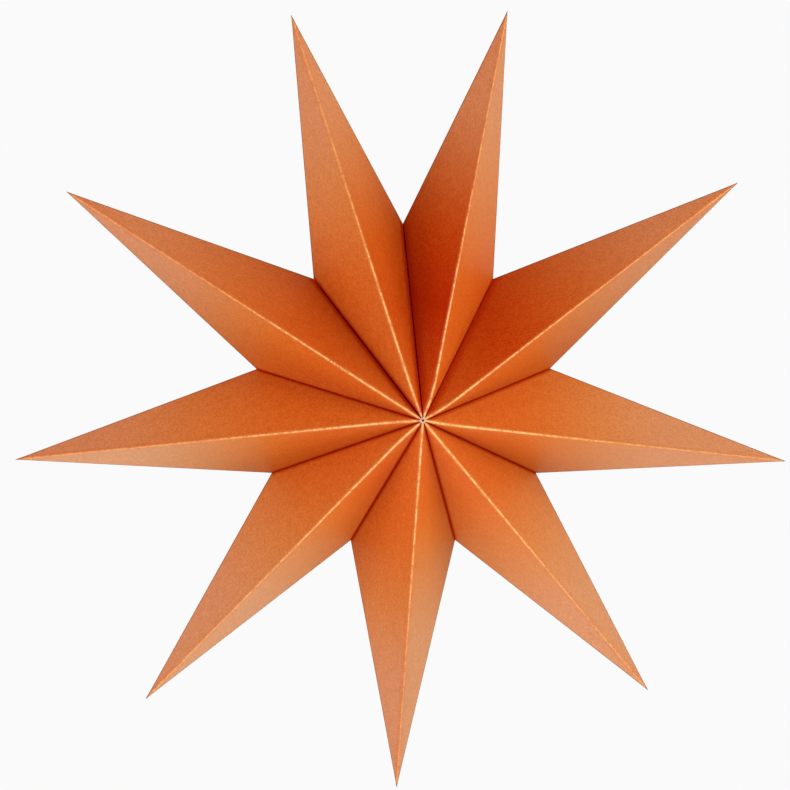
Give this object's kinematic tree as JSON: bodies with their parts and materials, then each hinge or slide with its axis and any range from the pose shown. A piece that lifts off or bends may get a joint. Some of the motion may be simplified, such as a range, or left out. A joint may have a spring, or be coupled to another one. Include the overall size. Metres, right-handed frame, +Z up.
{
  "type": "paper star lantern",
  "caption": "Hanging star lantern of folded card: hollow four-sided points with sharp crests, glued along their valleys into a ring that is taped shut at the top.",
  "frame": {"origin": "middle of the star: on the line through its two peaks, in the plane of the tips", "axes": "+Z up through the closing joint, -Y out through the front peak, +X to the right as seen from the front"},
  "size_m": [0.296, 0.0992, 0.2943],
  "materials": {
    "card": "orange card, matt with a fine fibre grain, paler along its creases",
    "tape": "thin pale double-sided tape, hidden in the closing joint"
  },
  "bodies": {
    "root": {"point_01": "card", "point_02": "card", "point_03": "card", "point_04": "card", "point_05": "card", "point_06": "card", "point_07": "card", "point_08": "card", "point_09": "card", "closing_tape_front": "tape", "closing_tape_back": "tape"}
  },
  "joints": []
}
